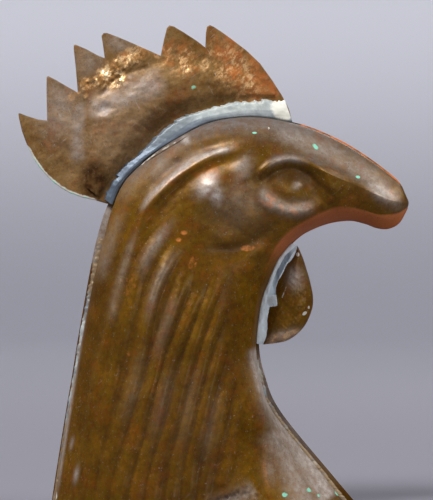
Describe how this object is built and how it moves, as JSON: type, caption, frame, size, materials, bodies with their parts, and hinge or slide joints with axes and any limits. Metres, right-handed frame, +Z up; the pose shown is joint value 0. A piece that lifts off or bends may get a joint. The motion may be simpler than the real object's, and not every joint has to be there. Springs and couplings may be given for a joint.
{
  "type": "weathercock head and neck",
  "caption": "Hollow copper weathercock head and neck, pressed in halves and soldered, with a toothed comb and a wattle, cut flat below.",
  "frame": {"origin": "centre of the overall width on the seam plane, at the flat cut underside", "axes": "+Z up from the underside to the comb, +X the way the beak points, -Y out of the right half"},
  "size_m": [0.1648, 0.0666, 0.204],
  "materials": {
    "copper": "brown weathered copper sheet, satin, with a lilac-grey sky sheen and spots of verdigris",
    "comb_copper": "hammered and scratched copper sheet, brown with orange bare patches",
    "wattle_copper": "brown weathered copper sheet, satin",
    "solder": "dull grey soft solder with pale oxide"
  },
  "bodies": {
    "root": {"right_half": "copper", "left_half": "copper", "comb_right": "comb_copper", "comb_left": "comb_copper", "wattle_right": "wattle_copper", "wattle_left": "wattle_copper", "comb_solder_right": "solder", "comb_solder_left": "solder", "wattle_solder_right": "solder", "wattle_solder_left": "solder", "back_seam_solder": "solder", "breast_seam_solder": "solder"}
  },
  "joints": []
}
